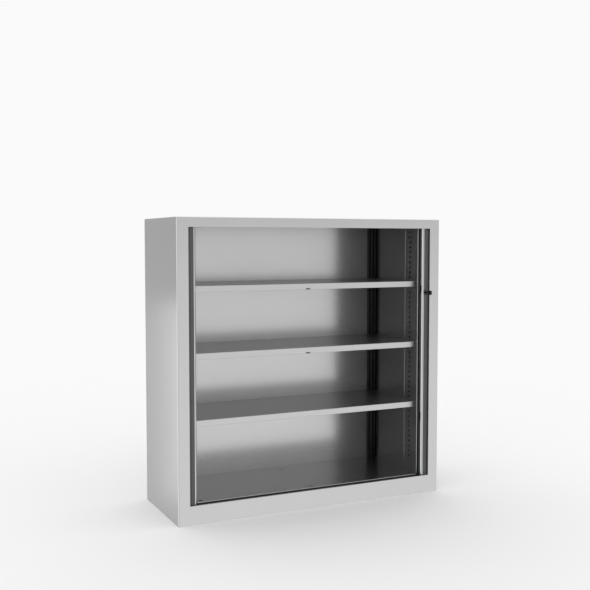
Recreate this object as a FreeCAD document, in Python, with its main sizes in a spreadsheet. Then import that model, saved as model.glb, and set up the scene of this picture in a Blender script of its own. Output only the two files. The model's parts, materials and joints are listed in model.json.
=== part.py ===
import FreeCAD
import Part
import Sketcher
import math
import os

# A steel cupboard with two tambour doors that slide sideways into its walls.
# Origin at the middle of the base, X to the right, Y to the back, Z up, millimetres.

doc = FreeCAD.newDocument("tambour_cabinet")
sheet = doc.addObject("Spreadsheet::Sheet", "Sizes")

sizes = {
    # carcass
    "cabinet_width": 1200,
    "cabinet_depth": 430,
    "cabinet_height": 1200,
    "sheet_gauge": 1,
    "bend_radius": 4.5,
    "fold_radius": 1.6,
    "frame_stile": 48,
    "top_rail": 39,
    "plinth_height": 76,
    "frame_return": 8,
    "back_lap": 28,
    # floor, ceiling and inner back
    "floor_rise": 2,
    "ceiling_rise": 6,
    "floor_setback": 32,
    "track_ledge_drop": 21,
    "weld_lap": 7,
    "inner_back_margin": 34,
    "floor_hole": 14,
    "floor_hole_inset": 110,
    "floor_hole_front": 55,
    "floor_hole_rear": 82,
    # linings
    "lining_inset": 88,
    "post_setback": 34,
    "post_depth": 99,
    "lining_depth": 242,
    "post_overlap": 35,
    "post_return": 5,
    "peg_slot_length": 15,
    "peg_slot_height": 6.5,
    "peg_pitch": 22.2,
    "first_peg": 69.5,
    "peg_top_margin": 54,
    "front_peg_inset": 63.5,
    "rear_peg_inset": 15.5,
    "top_slot_length": 40,
    "top_slot_height": 2.5,
    # shelves and clips
    "shelf_setback": 54,
    "shelf_height": 25,
    "shelf_side_gap": 1,
    "shelf_rear_gap": 2,
    "shelf_fold": 2.5,
    "shelf_hem": 12,
    "shelf_notch_middle": -14,
    "shelf_notch_width": 20,
    "shelf_notch_height": 5,
    "clip_width": 16,
    "clip_reach": 14,
    "clip_thickness": 3,
    "clip_rise": 7.75,
    "clip_tab_width": 14,
    "clip_tab_length": 5,
    # curtain tracks
    "track_slot": 10,
    "track_wall": 2.5,
    "track_base": 2,
    "track_height": 15,
    "track_corner_radius": 34,
    "curtain_setback": 20,
    "back_track_length": 100,
    # slats
    "slat_pitch": 18,
    "slat_gap": 0.4,
    "slat_thickness": 7,
    "slat_taper": 1.3,
    "slat_crown": 1.6,
    "slat_end_gap": 0.5,
    "slat_lead": 3,
    "curtain_cover": 1,
    # lead stiles
    "stile_front": 10,
    "stile_thickness": 20,
    "nose_reach": 33,
    "nose_radius": 9.5,
    "nose_land": 0.5,
    "stile_tail": 7.5,
    "stile_wall": 2,
    "nose_wall": 5.5,
    "stile_end_gap": 1,
    "strip_thickness": 3,
    "rib_inset": 11.5,
    "rib_pitch": 8.1,
    "rib_height": 1.6,
    "rib_crest": 2.6,
    "rib_foot": 6,
    "glide_thickness": 8,
    "glide_length": 32,
    "glide_plug": 25,
    "glide_fit": 0.1,
    # lock
    "lock_height": 883,
    "lock_inset": 12,
    "barrel_diameter": 16,
    "barrel_flange": 20,
    "barrel_flange_height": 2,
    "barrel_length": 8.5,
    "barrel_fit": 0.1,
    "barrel_nut_width": 22,
    "barrel_nut_height": 2.5,
    "plug_diameter": 12,
    "plug_fit": 0.06,
    "plug_proud": 0.6,
    "plug_tail": 7,
    "hook_reach": 34,
    "hook_boss": 14,
    "hook_below": 1.5,
    "hook_thickness": 3,
    "hook_barb": 6.5,
    "hook_barb_width": 4,
    "hook_side_gap": 4,
    "hook_gap": 1,
    "hook_screw_head": 9,
    "hook_screw_height": 2,
    "hook_screw_shank": 3,
    "hook_screw_length": 4,
    "slot_below": 2,
    "slot_height": 35,
    "strike_thickness": 1.5,
    "strike_height": 60,
    "key_bow_height": 18,
    "key_bow_thickness": 4,
    "key_bow_length": 24,
    "key_bow_round": 4.5,
    "key_ring_inset": 7,
    "key_ring_hole": 5,
    "key_neck": 8,
    "key_blade_bare": 8,
    "key_blade_height": 8,
    "key_blade_thickness": 2,
    "key_blade_length": 8,
    "key_fit": 0.15,
    # levelling feet
    "foot_pad": 38,
    "foot_pad_height": 8,
    "foot_stem": 10,
    "foot_length": 52,
    "foot_lift": 0.3,
    "foot_hole_gap": 2,
    "foot_thread_gap": 0.06,
    "bracket_width": 64,
    "bracket_depth": 50,
    "bracket_height": 30,
    "bracket_wall": 3,
    # back rivets
    "rivet_head": 8,
    "rivet_head_height": 1,
    "rivet_shank": 4,
    "rivet_pitch": 220,
    "first_rivet": 110,
}

for row, (alias, number) in enumerate(sizes.items(), start=1):
    sheet.set(f"A{row}", alias)
    sheet.set(f"B{row}", str(number))
    sheet.setAlias(f"B{row}", alias)
doc.recompute()


# A length that keeps its spreadsheet formula beside its present value.
class Size:
    def __init__(self, formula, number):
        self.formula = formula
        self.number = number

    def __add__(self, other):
        other = as_size(other)
        return Size(f"({self.formula} + {other.formula})", self.number + other.number)

    def __sub__(self, other):
        other = as_size(other)
        return Size(f"({self.formula} - {other.formula})", self.number - other.number)

    def __mul__(self, other):
        other = as_size(other)
        return Size(f"({self.formula} * {other.formula})", self.number * other.number)

    def __truediv__(self, other):
        other = as_size(other)
        return Size(f"({self.formula} / {other.formula})", self.number / other.number)

    def __neg__(self):
        return Size(f"(0 - {self.formula})", -self.number)

    __radd__ = __add__
    __rmul__ = __mul__


def as_size(value):
    if isinstance(value, Size):
        return value
    return Size(f"({value})", float(value))


def cell(alias):
    return Size(f"Sizes.{alias}", float(sheet.get(alias)))


def bind(target, prop, size):
    target.setExpression(prop, as_size(size).formula)


# Helpers for bodies, sketches and features

def new_body(name):
    body = doc.addObject("PartDesign::Body", name)
    body.Label = name
    return body


def origin_plane(body, role):
    return next(item for item in body.Origin.OriginFeatures if item.Role == role)


def place_sketch(body, role, lift):
    sketch = body.newObject("Sketcher::SketchObject", body.Label + "_sketch")
    sketch.AttachmentSupport = [(origin_plane(body, role), "")]
    sketch.MapMode = "FlatFace"
    if lift is not None:
        bind(sketch, "AttachmentOffset.Base.z", lift)
    return sketch


def fix_point(sketch, geometry, point, x, y):
    for kind, axis, size in (("DistanceX", -2, as_size(x)), ("DistanceY", -1, as_size(y))):
        if size.number == 0:
            sketch.addConstraint(Sketcher.Constraint("PointOnObject", geometry, point, axis))
        else:
            index = sketch.addConstraint(Sketcher.Constraint(kind, -1, 1, geometry, point, size.number))
            bind(sketch, f"Constraints[{index}]", size)


def sign(number):
    return (number > 0) - (number < 0)


# A rounded corner between two lines along the axes: its arc's start, end and middle, and if it turns left
def bend(before, here, after):
    x, y, radius = here
    step_in = [sign(as_size(here[k]).number - as_size(before[k]).number) for k in (0, 1)]
    step_out = [sign(as_size(after[k]).number - as_size(here[k]).number) for k in (0, 1)]
    start = (x - radius * step_in[0], y - radius * step_in[1])
    end = (x + radius * step_out[0], y + radius * step_out[1])
    middle = (start[0] + radius * step_out[0], start[1] + radius * step_out[1])
    left = step_in[0] * step_out[1] - step_in[1] * step_out[0] > 0
    return start, end, middle, left


def flat_point(x, y):
    return FreeCAD.Vector(as_size(x).number, as_size(y).number, 0)


def arc_between(start, end, middle):
    centre = flat_point(*middle)
    spokes = [flat_point(*point) - centre for point in (start, end)]
    angles = [math.atan2(spoke.y, spoke.x) for spoke in spokes]
    return Part.ArcOfCircle(Part.Circle(centre, FreeCAD.Vector(0, 0, 1), spokes[0].Length), *angles)


# A closed outline through corners (x, y), or (x, y, radius) where a right angle is rounded
def add_outline(sketch, corners):
    count = len(corners)
    starts = []
    curves = []
    for i, here in enumerate(corners):
        if len(here) == 3:
            start, end, middle, left = bend(corners[i - 1], here, corners[(i + 1) % count])
            ends = (start, end) if left else (end, start)
            starts += [start, end]
            curves += [(arc_between(*ends, middle), left, here[2]), None]
        else:
            starts.append(here)
            curves.append(None)
    total = len(starts)
    for i, curve in enumerate(curves):
        line = Part.LineSegment(flat_point(*starts[i]), flat_point(*starts[(i + 1) % total]))
        sketch.addGeometry(curve[0] if curve else line, False)
    heads = [2 if curve and not curve[1] else 1 for curve in curves]
    for i, curve in enumerate(curves):
        after = (i + 1) % total
        sketch.addConstraint(Sketcher.Constraint("Coincident", i, 3 - heads[i], after, heads[after]))
        fix_point(sketch, i, heads[i], *starts[i])
        if curve:
            limit = sketch.addConstraint(Sketcher.Constraint("Radius", i, curve[2].number))
            bind(sketch, f"Constraints[{limit}]", curve[2])


def outline(body, role, corners, lift=None):
    sketch = place_sketch(body, role, lift)
    add_outline(sketch, corners)
    return sketch


def add_circle(sketch, x, y, diameter):
    radius = as_size(diameter) / 2
    middle = FreeCAD.Vector(as_size(x).number, as_size(y).number, 0)
    index = sketch.addGeometry(Part.Circle(middle, FreeCAD.Vector(0, 0, 1), radius.number), False)
    fix_point(sketch, index, 3, x, y)
    limit = sketch.addConstraint(Sketcher.Constraint("Radius", index, radius.number))
    bind(sketch, f"Constraints[{limit}]", radius)


def circles(body, role, places, diameter, lift=None):
    sketch = place_sketch(body, role, lift)
    for x, y in places:
        add_circle(sketch, x, y, diameter)
    return sketch


def rectangle(x0, y0, x1, y1):
    return [(x0, y0), (x1, y0), (x1, y1), (x0, y1)]


# The plan of a sheet that fits between the side panels, with its corners clear of their bends
def inside_plan():
    plan = rectangle(-inner_side, inner_front, inner_side, back_sheet)
    return [(x, y, cell("bend_radius")) for x, y in plan]


def extrude(body, kind, sketch, length, backwards=False):
    feature = body.newObject(kind, sketch.Name + "_" + kind.split("::")[1].lower())
    feature.Profile = sketch
    feature.Reversed = backwards
    bind(feature, "Length", length)
    body.Tip = feature
    doc.recompute()
    return feature


def pad(body, sketch, length, backwards=False):
    return extrude(body, "PartDesign::Pad", sketch, length, backwards)


def pocket(body, sketch, length, backwards=False):
    before = body.Shape.Volume
    feature = extrude(body, "PartDesign::Pocket", sketch, length, backwards)
    if body.Shape.Volume >= before:
        raise RuntimeError(f"the cut {feature.Name} removes nothing")
    return feature


plane_tolerance = 1e-5


def lies_on(shape, axis, size):
    low = getattr(shape.BoundBox, axis + "Min")
    high = getattr(shape.BoundBox, axis + "Max")
    return max(abs(low - size.number), abs(high - size.number)) < plane_tolerance


# Names of the edges that lie on both of two planes, for each pair of planes given
def edges_on(shape, *pairs):
    names = []
    for number, edge in enumerate(shape.Edges, start=1):
        if any(lies_on(edge, *one) and lies_on(edge, *two) for one, two in pairs):
            names.append(f"Edge{number}")
    return names


def faces_on(shape, *planes):
    names = []
    for number, face in enumerate(shape.Faces, start=1):
        if any(lies_on(face, *plane) for plane in planes):
            names.append(f"Face{number}")
    return names


def round_edges(body, radius, *pairs):
    base = body.Tip
    fillet = body.newObject("PartDesign::Fillet", body.Label + "_fillet")
    fillet.Base = (base, edges_on(base.Shape, *pairs))
    bind(fillet, "Radius", radius)
    body.Tip = fillet
    doc.recompute()


def hollow_out(body, *open_planes):
    base = body.Tip
    shell = body.newObject("PartDesign::Thickness", body.Label + "_shell")
    shell.Base = (base, faces_on(base.Shape, *open_planes))
    shell.Reversed = True
    bind(shell, "Value", gauge)
    body.Tip = shell
    doc.recompute()


def repeat_up(body, feature, pitch, count):
    pattern = body.newObject("PartDesign::LinearPattern", feature.Name + "_row")
    pattern.Originals = [feature]
    pattern.Direction = (feature.Profile[0], ["V_Axis"])
    pattern.Mode = "Spacing"
    bind(pattern, "Offset", pitch)
    bind(pattern, "Occurrences", count)
    body.Tip = pattern
    doc.recompute()


# A plain block between three pairs of planes
def block(name, x, y, z):
    box = doc.addObject("Part::Box", name)
    box.Label = name
    for prop, axis, (low, high) in (("Length", "x", x), ("Width", "y", y), ("Height", "z", z)):
        bind(box, prop, as_size(high) - low)
        bind(box, f"Placement.Base.{axis}", low)
    return box


# A round bar along Z, or along Y when it is turned
def bar(name, x, y, z, diameter, length, along="z"):
    cylinder = doc.addObject("Part::Cylinder", name)
    cylinder.Label = name
    turns = {
        "z": FreeCAD.Rotation(),
        "y": FreeCAD.Rotation(FreeCAD.Vector(1, 0, 0), -90),
    }
    cylinder.Placement.Rotation = turns[along]
    bind(cylinder, "Radius", as_size(diameter) / 2)
    bind(cylinder, "Height", length)
    for axis, place in (("x", x), ("y", y), ("z", z)):
        bind(cylinder, f"Placement.Base.{axis}", place)
    return cylinder


def join(name, *pieces):
    fuse = doc.addObject("Part::MultiFuse", name)
    fuse.Label = name
    fuse.Shapes = list(pieces)
    return fuse


def cut(name, base, tool):
    result = doc.addObject("Part::Cut", name)
    result.Label = name
    result.Base = base
    result.Tool = tool
    return result


def group(name, pieces):
    compound = doc.addObject("Part::Compound", name)
    compound.Label = name
    compound.Links = list(pieces)
    return compound


nodes = []


def keep(piece):
    nodes.append(piece)
    return piece


flips = {"left": -1, "right": 1}


# A range that reaches equally far to both sides of its middle
def around(middle, half):
    return middle - half, middle + half


# An X range on one side of the cabinet, from the nearer to the farther distance from the middle
def side_range(side, near, far):
    if side == "right":
        return near, far
    return -far, -near


# Places that several pieces share

gauge = cell("sheet_gauge")
half_width = cell("cabinet_width") / 2
front = -cell("cabinet_depth") / 2
back = cell("cabinet_depth") / 2
top = cell("cabinet_height")
opening_side = half_width - cell("frame_stile")
opening_top = top - cell("top_rail")
opening_bottom = cell("plinth_height")
inner_side = half_width - gauge
inner_front = front + gauge
back_sheet = back - gauge * 2

floor_top = opening_bottom + cell("floor_rise")
ceiling = opening_top + cell("ceiling_rise")
floor_front = front + cell("floor_setback")
ledge_low = opening_bottom - cell("track_ledge_drop")
ledge_high = opening_top + cell("track_ledge_drop")

track_half = cell("track_slot") / 2 + cell("track_wall")
front_run = front + cell("curtain_setback")
side_run = inner_side - track_half
back_run = back_sheet - track_half
inner_back = back_run - track_half
corner = cell("track_corner_radius")

post_face = half_width - cell("lining_inset")
lining_face = post_face - gauge
post_front = front + cell("post_setback")
lining_front = post_front + cell("post_depth")
post_rear = lining_front + cell("post_overlap")
lining_rear = lining_front + cell("lining_depth")
front_pegs = post_front + cell("front_peg_inset")
rear_pegs = lining_rear - cell("rear_peg_inset")
first_peg = floor_top + cell("first_peg")
peg_pitch = cell("peg_pitch")
peg_room = ceiling - cell("peg_top_margin") - first_peg
peg_count = Size(
    f"(floor({peg_room.formula} / {peg_pitch.formula}) + 1)",
    peg_room.number // peg_pitch.number + 1,
)

stile_front = front + cell("stile_front")
stile_rear = stile_front + cell("stile_thickness")
nose = opening_side - cell("nose_reach")
nose_edge = nose + cell("nose_radius") + cell("nose_land")
stile_tail = opening_side + cell("stile_tail")
strip_rear = stile_front + cell("strip_thickness")
stile_low = ledge_low + cell("track_height") + cell("stile_end_gap")
stile_high = ledge_high - cell("track_height") - cell("stile_end_gap")
slat_low = ledge_low + cell("track_base") + cell("slat_end_gap")
slat_high = ledge_high - cell("track_base") - cell("slat_end_gap")
door_middle = (stile_low + stile_high) / 2
lock_x = opening_side - cell("lock_inset")
lock_z = cell("lock_height")
cavity_front = strip_rear + cell("stile_wall")
cavity_rear = stile_rear - cell("stile_wall")
cavity_near = nose + cell("nose_wall")
cavity_far = stile_tail - cell("stile_wall")


# Carcass sheets

def side_panel(side):
    flip = flips[side]
    body = new_body(f"{side}_side_panel")
    plan = outline(body, "XY_Plane", rectangle(flip * opening_side, front, flip * half_width, back))
    pad(body, plan, top)
    outer = ("X", flip * half_width)
    lid = ("Z", top)
    ends = (("Y", front), ("Y", back))
    bends = [(outer, lid)] + [(outer, end) for end in ends] + [(lid, end) for end in ends]
    round_edges(body, cell("bend_radius"), *bends)
    hollow_out(body, ("X", flip * opening_side), ("Z", as_size(0)))
    fold_stile(body, flip)
    drill_rivets(body, side, back, gauge)
    return keep(body)


# Beside the opening, the edge of the front stile is folded inwards
def fold_stile(body, flip):
    lip = cell("frame_return")
    height = opening_top - opening_bottom
    strip = rectangle(flip * opening_side, front, flip * (opening_side + lip), inner_front)
    pocket(body, outline(body, "XY_Plane", strip, opening_top), height)
    inner = opening_side + gauge
    fold = [(opening_side + lip, front), (opening_side, front, cell("fold_radius"))]
    fold += [(opening_side, front + lip), (inner, front + lip)]
    fold += [(inner, inner_front), (opening_side + lip, inner_front)]
    section = [(flip * place[0], *place[1:]) for place in fold]
    pad(body, outline(body, "XY_Plane", section, opening_bottom), height)


def top_panel():
    body = new_body("top_panel")
    plan = outline(body, "XY_Plane", rectangle(-opening_side, front, opening_side, back), opening_top)
    pad(body, plan, cell("top_rail"))
    lid = ("Z", top)
    round_edges(body, cell("bend_radius"), (lid, ("Y", front)), (lid, ("Y", back)))
    hollow_out(body, ("Z", opening_top), ("X", opening_side), ("X", -opening_side))
    fold = rectangle(-opening_side, inner_front, opening_side, front + cell("frame_return"))
    pad(body, outline(body, "XY_Plane", fold, opening_top), gauge)
    round_edges(body, cell("fold_radius"), (("Z", opening_top), ("Y", front)))
    drill_rivets(body, "top", back, gauge)
    return keep(body)


def plinth_rail():
    body = new_body("plinth_rail")
    fold_rear = front + cell("frame_return")
    under_fold = opening_bottom - gauge
    section = [(front, 0), (inner_front, 0), (inner_front, under_fold), (fold_rear, under_fold)]
    section += [(fold_rear, opening_bottom), (front, opening_bottom)]
    pad(body, outline(body, "YZ_Plane", section, -opening_side), opening_side * 2)
    round_edges(body, cell("fold_radius"), (("Z", opening_bottom), ("Y", front)))
    return keep(body)


def foot_places():
    hole_x = half_width - cell("floor_hole_inset")
    return {
        "left_front": (-hole_x, front + cell("floor_hole_front")),
        "right_front": (hole_x, front + cell("floor_hole_front")),
        "left_rear": (-hole_x, back - cell("floor_hole_rear")),
        "right_rear": (hole_x, back - cell("floor_hole_rear")),
    }


def base_plate():
    body = new_body("base_plate")
    pad(body, outline(body, "XY_Plane", inside_plan()), gauge)
    hole_size = cell("foot_pad") + cell("foot_hole_gap")
    holes = circles(body, "XY_Plane", foot_places().values(), hole_size, gauge)
    pocket(body, holes, gauge)
    return keep(body)


def back_panel():
    lap_x = opening_side + cell("back_lap")
    lap_z = opening_top + cell("back_lap")
    body = new_body("back_panel")
    face = outline(body, "XZ_Plane", rectangle(-lap_x, 0, lap_x, lap_z), -back_sheet)
    pad(body, face, gauge, backwards=True)
    for where in ("left", "right", "top"):
        drill_rivets(body, where, back - gauge, gauge)
    return keep(body)


# A raised pan with a ledge round it that carries the tracks. The ceiling is the same pan hung upside down.
def pan(name, ledge, face, up):
    body = new_body(name)
    pad(body, outline(body, "XY_Plane", inside_plan(), ledge), gauge, backwards=up)
    hat = rectangle(-post_face, floor_front, post_face, inner_back)
    height = (face - ledge) if up else (ledge - face)
    pad(body, outline(body, "XY_Plane", hat, ledge), height, backwards=not up)
    inside = rectangle(gauge - post_face, floor_front + gauge, post_face - gauge, inner_back - gauge)
    far_side = (ledge - gauge) if up else (ledge + gauge)
    pocket(body, outline(body, "XY_Plane", inside, far_side), height, backwards=up)
    walls = (("X", post_face), ("X", -post_face), ("Y", floor_front), ("Y", inner_back))
    round_edges(body, cell("fold_radius"), *[(("Z", face), wall) for wall in walls])
    return keep(body)


def floor_pan():
    body = pan("floor_pan", ledge_low, floor_top, True)
    places = list(foot_places().values())
    middle = [(as_size(0), places[0][1]), (as_size(0), places[2][1])]
    pocket(body, circles(body, "XY_Plane", places + middle, cell("floor_hole"), floor_top), gauge)


# The inner back ends short of the linings
def inner_back_panel():
    half = post_face - cell("inner_back_margin")
    depth = (inner_back - gauge, inner_back)
    return keep(block("inner_back_panel", (-half, half), depth, (floor_top, ceiling)))


# Linings, with columns of slots for the shelf clips

def punch_slot(body, y, z, length, height, x, outwards):
    half_y = cell(length) / 2
    half_z = cell(height) / 2
    slot = rectangle(y - half_y, z - half_z, y + half_y, z + half_z)
    return pocket(body, outline(body, "YZ_Plane", slot, x), gauge, backwards=outwards)


def peg_column(body, y, x, outwards):
    first = punch_slot(body, y, first_peg, "peg_slot_length", "peg_slot_height", x, outwards)
    repeat_up(body, first, peg_pitch, peg_count)


def lining(side):
    flip = flips[side]
    right = side == "right"
    body = new_body(f"{side}_lining")
    face = rectangle(lining_front, floor_top, lining_rear, ceiling)
    pad(body, outline(body, "YZ_Plane", face, flip * lining_face), gauge, backwards=not right)
    peg_column(body, rear_pegs, flip * lining_face, right)
    return keep(body)


def lining_post(side):
    flip = flips[side]
    right = side == "right"
    body = new_body(f"{side}_lining_post")
    low = floor_top - cell("weld_lap")
    high = ceiling + cell("weld_lap")
    face = rectangle(post_front, low, post_rear, high)
    pad(body, outline(body, "YZ_Plane", face, flip * post_face), gauge, backwards=not right)
    outer = post_face + gauge
    fold = rectangle(flip * outer, post_front, flip * (outer + cell("post_return")), post_front + gauge)
    pad(body, outline(body, "XY_Plane", fold, low), high - low)
    round_edges(body, cell("fold_radius"), (("X", flip * post_face), ("Y", post_front)))
    peg_column(body, front_pegs, flip * post_face, right)
    for step in (0, 1):
        z = first_peg + peg_pitch * (peg_count + step)
        punch_slot(body, front_pegs, z, "top_slot_length", "top_slot_height", flip * post_face, right)
    return keep(body)


# Shelves and their clips

shelf_half = lining_face - cell("shelf_side_gap")
shelf_front = front + cell("shelf_setback")
shelf_rear = inner_back - gauge - cell("shelf_rear_gap")
# The slot that each shelf hangs in, counted up from the lowest one
shelf_pegs = {"upper": 34, "middle": 22, "lower": 10}


def clip_bottom(name):
    return first_peg + peg_pitch * shelf_pegs[name] - cell("peg_slot_height") / 2


def shelf_bottom(name):
    return clip_bottom(name) + cell("clip_rise")


def notch_range():
    return around(cell("shelf_notch_middle"), cell("shelf_notch_width") / 2)


def shelf(name):
    body = new_body(f"{name}_shelf")
    low = shelf_bottom(name)
    high = low + cell("shelf_height")
    plan = rectangle(-shelf_half, shelf_front, shelf_half, shelf_rear)
    pad(body, outline(body, "XY_Plane", plan, low), high - low)
    nose_edges = [(("Z", z), ("Y", shelf_front)) for z in (low, high)]
    round_edges(body, cell("shelf_fold"), nose_edges[1])
    hollow_out(body, ("Z", low))
    inside = shelf_half - gauge
    hem = rectangle(-inside, shelf_front + gauge, inside, shelf_front + cell("shelf_hem"))
    pad(body, outline(body, "XY_Plane", hem, low), gauge)
    round_edges(body, cell("fold_radius"), nose_edges[0])
    left, right = notch_range()
    notch = rectangle(left, low, right, low + cell("shelf_notch_height"))
    pocket(body, outline(body, "XZ_Plane", notch, -shelf_front), cell("shelf_hem"))
    return keep(body)


# A plug closes the notch under the front edge of the two upper shelves
def shelf_plugs():
    plugs = []
    depth = (shelf_front, shelf_front + cell("shelf_hem"))
    for name in ("upper", "middle"):
        low = shelf_bottom(name)
        plugs.append(block(f"{name}_plug", notch_range(), depth, (low, low + cell("shelf_notch_height"))))
    return keep(group("shelf_plugs", plugs))


# A bent clip: its tab lies in the slot, and its ledge carries the shelf
def shelf_clip(title, side, y, wall, low, high):
    thickness = cell("clip_thickness")
    wide = around(y, cell("clip_width") / 2)
    tab_wide = around(y, cell("clip_tab_width") / 2)
    tab_x = side_range(side, wall, wall + cell("clip_tab_length"))
    web_x = side_range(side, wall - thickness, wall)
    ledge_x = side_range(side, wall - cell("clip_reach"), wall)
    tab = block(title + "_tab", tab_x, tab_wide, (low, low + thickness))
    web = block(title + "_web", web_x, wide, (low, high))
    ledge = block(title + "_ledge", ledge_x, wide, (high - thickness, high))
    return join(title, tab, web, ledge)


def shelf_clips():
    clips = []
    for name in shelf_pegs:
        low = clip_bottom(name)
        high = shelf_bottom(name)
        for side in flips:
            for place, y, wall in (("front", front_pegs, post_face), ("rear", rear_pegs, lining_face)):
                clips.append(shelf_clip(f"{name}_{side}_{place}_clip", side, y, wall, low, high))
    return keep(group("shelf_clips", clips))


# Curtain tracks: a channel that runs from the middle of the front, round the side, to the back

def track_outline(flip, half):
    outer = corner + half
    inner = corner - half
    x0, x1 = side_run - half, side_run + half
    y0, y1 = front_run + half, front_run - half
    y2, y3 = back_run - half, back_run + half
    tail = side_run - corner - cell("back_track_length")
    middle = as_size(0)
    path = [(middle, y1), (x1, y1, outer), (x1, y3, outer), (tail, y3)]
    path += [(tail, y2), (x0, y2, inner), (x0, y0, inner), (middle, y0)]
    return [(flip * place[0], *place[1:]) for place in path]


def track(side, level):
    flip = flips[side]
    low = level == "bottom"
    body = new_body(f"{side}_{level}_track")
    seat = ledge_low if low else ledge_high
    height = cell("track_height")
    pad(body, outline(body, "XY_Plane", track_outline(flip, track_half), seat), height, backwards=not low)
    mouth = seat + height if low else seat - height
    slot = outline(body, "XY_Plane", track_outline(flip, cell("track_slot") / 2), mouth)
    pocket(body, slot, height - cell("track_base"), backwards=not low)
    return keep(body)


# Lead stiles

def hook_slot(body, flip, low):
    y0 = cavity_front - gauge / 2
    slot = rectangle(y0, low, cavity_rear, low + cell("slot_height"))
    sketch = outline(body, "YZ_Plane", slot, flip * nose)
    pocket(body, sketch, cell("nose_wall"), backwards=flip > 0)


def lead_stile(side):
    flip = flips[side]
    body = new_body(f"{side}_lead_stile")
    section = [(nose, stile_front), (nose_edge, stile_front), (nose_edge, strip_rear)]
    section += [(stile_tail, strip_rear), (stile_tail, stile_rear), (nose, stile_rear)]
    plan = outline(body, "XY_Plane", [(flip * x, y) for x, y in section], stile_low)
    pad(body, plan, stile_high - stile_low)
    round_edges(body, cell("nose_radius"), (("X", flip * nose), ("Y", stile_front)))
    cavity = rectangle(flip * cavity_near, cavity_front, flip * cavity_far, cavity_rear)
    pocket(body, outline(body, "XY_Plane", cavity, stile_high), stile_high - stile_low)
    low = lock_z - cell("slot_below")
    hook_slot(body, flip, low)
    hook_slot(body, flip, door_middle * 2 - low - cell("slot_height"))
    if side == "right":
        bore(body, cavity_front - stile_front)
    return keep(body)


def bore(body, depth):
    diameter = cell("barrel_diameter") + cell("barrel_fit") * 2
    hole = circles(body, "XZ_Plane", [(lock_x, lock_z)], diameter, -stile_front)
    pocket(body, hole, depth)


# Ribbed strip on the front of each lead stile
def grip_strip(side):
    flip = flips[side]
    body = new_body(f"{side}_grip_strip")
    groove = stile_front + cell("rib_height")
    pitch = cell("rib_pitch")
    crest = cell("rib_crest") / 2
    foot = cell("rib_foot") / 2
    room = stile_tail - nose_edge - cell("rib_inset") - foot
    section = [(nose_edge, strip_rear), (nose_edge, groove)]
    for number in range(int(room.number // pitch.number) + 1):
        middle = nose_edge + cell("rib_inset") + pitch * number
        section += [(middle - foot, groove), (middle - crest, stile_front)]
        section += [(middle + crest, stile_front), (middle + foot, groove)]
    section += [(stile_tail, groove), (stile_tail, strip_rear)]
    plan = outline(body, "XY_Plane", [(flip * x, y) for x, y in section], stile_low)
    pad(body, plan, stile_high - stile_low)
    if side == "right":
        bore(body, cell("strip_thickness"))
    return keep(body)


# A tongue that runs in the track, on a plug that fits the end of the stile
def stile_glides(side):
    half = cell("glide_thickness") / 2
    gap = cell("glide_fit")
    glides = []
    for level, end, track_end in (("bottom", stile_low, slat_low), ("top", stile_high, slat_high)):
        title = f"{side}_{level}_glide"
        bottom = level == "bottom"
        inward = end + cell("glide_plug") if bottom else end - cell("glide_plug")
        tongue_x = side_range(side, cavity_near + gap, cavity_near + gap + cell("glide_length"))
        tongue_z = (track_end, end) if bottom else (end, track_end)
        tongue = block(title + "_tongue", tongue_x, around(front_run, half), tongue_z)
        plug_x = side_range(side, cavity_near + gap, cavity_far - gap)
        plug_z = (end, inward) if bottom else (inward, end)
        plug = block(title + "_plug", plug_x, (cavity_front + gap, cavity_rear - gap), plug_z)
        glides.append(join(title, tongue, plug))
    return keep(group(f"{side}_stile_glides", glides))


# Lock in the right stile: the plug, key and hook bolt turn in the barrel

barrel_front = stile_front - cell("barrel_flange_height")
barrel_rear = stile_front + cell("barrel_length")
plug_front = barrel_front - cell("plug_proud")
hook_front = barrel_rear + cell("hook_gap")
hook_rear = hook_front + cell("hook_thickness")
hook_screw_end = hook_rear - cell("hook_screw_length")


def lock_bar(name, start, end, diameter):
    return bar(name, lock_x, start, lock_z, diameter, end - start, "y")


def lock_barrel():
    flange = lock_bar("barrel_rim", barrel_front, stile_front, cell("barrel_flange"))
    tube = lock_bar("barrel_tube", stile_front, barrel_rear, cell("barrel_diameter"))
    hole = lock_bar("barrel_hole", barrel_front, barrel_rear, cell("plug_diameter") + cell("plug_fit") * 2)
    return keep(cut("lock_barrel", join("barrel_blank", flange, tube), hole))


def barrel_nut():
    half = cell("barrel_nut_width") / 2
    rear = cavity_front + cell("barrel_nut_height")
    blank = block("nut_blank", around(lock_x, half), (cavity_front, rear), around(lock_z, half))
    hole = lock_bar("nut_hole", cavity_front, rear, cell("barrel_diameter") + cell("barrel_fit") * 2)
    return keep(cut("barrel_nut", blank, hole))


def lock_plug():
    core = lock_bar("plug_core", plug_front, barrel_rear, cell("plug_diameter"))
    tail = lock_bar("plug_stub", barrel_rear, hook_rear, cell("plug_tail"))
    half_x = cell("key_blade_thickness") / 2 + cell("key_fit")
    half_z = cell("key_blade_height") / 2 + cell("key_fit")
    deep = plug_front + cell("key_blade_length") + cell("key_fit")
    keyway = block("keyway", around(lock_x, half_x), (plug_front, deep), around(lock_z, half_z))
    thread = lock_bar("plug_thread", hook_screw_end, hook_rear, cell("hook_screw_shank"))
    return keep(cut("lock_plug", join("plug_blank", core, tail), join("plug_cuts", keyway, thread)))


def key_blade():
    half_x = cell("key_blade_thickness") / 2
    half_z = cell("key_blade_height") / 2
    start = plug_front - cell("key_blade_bare")
    end = plug_front + cell("key_blade_length")
    return keep(block("key_blade", around(lock_x, half_x), (start, end), around(lock_z, half_z)))


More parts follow.
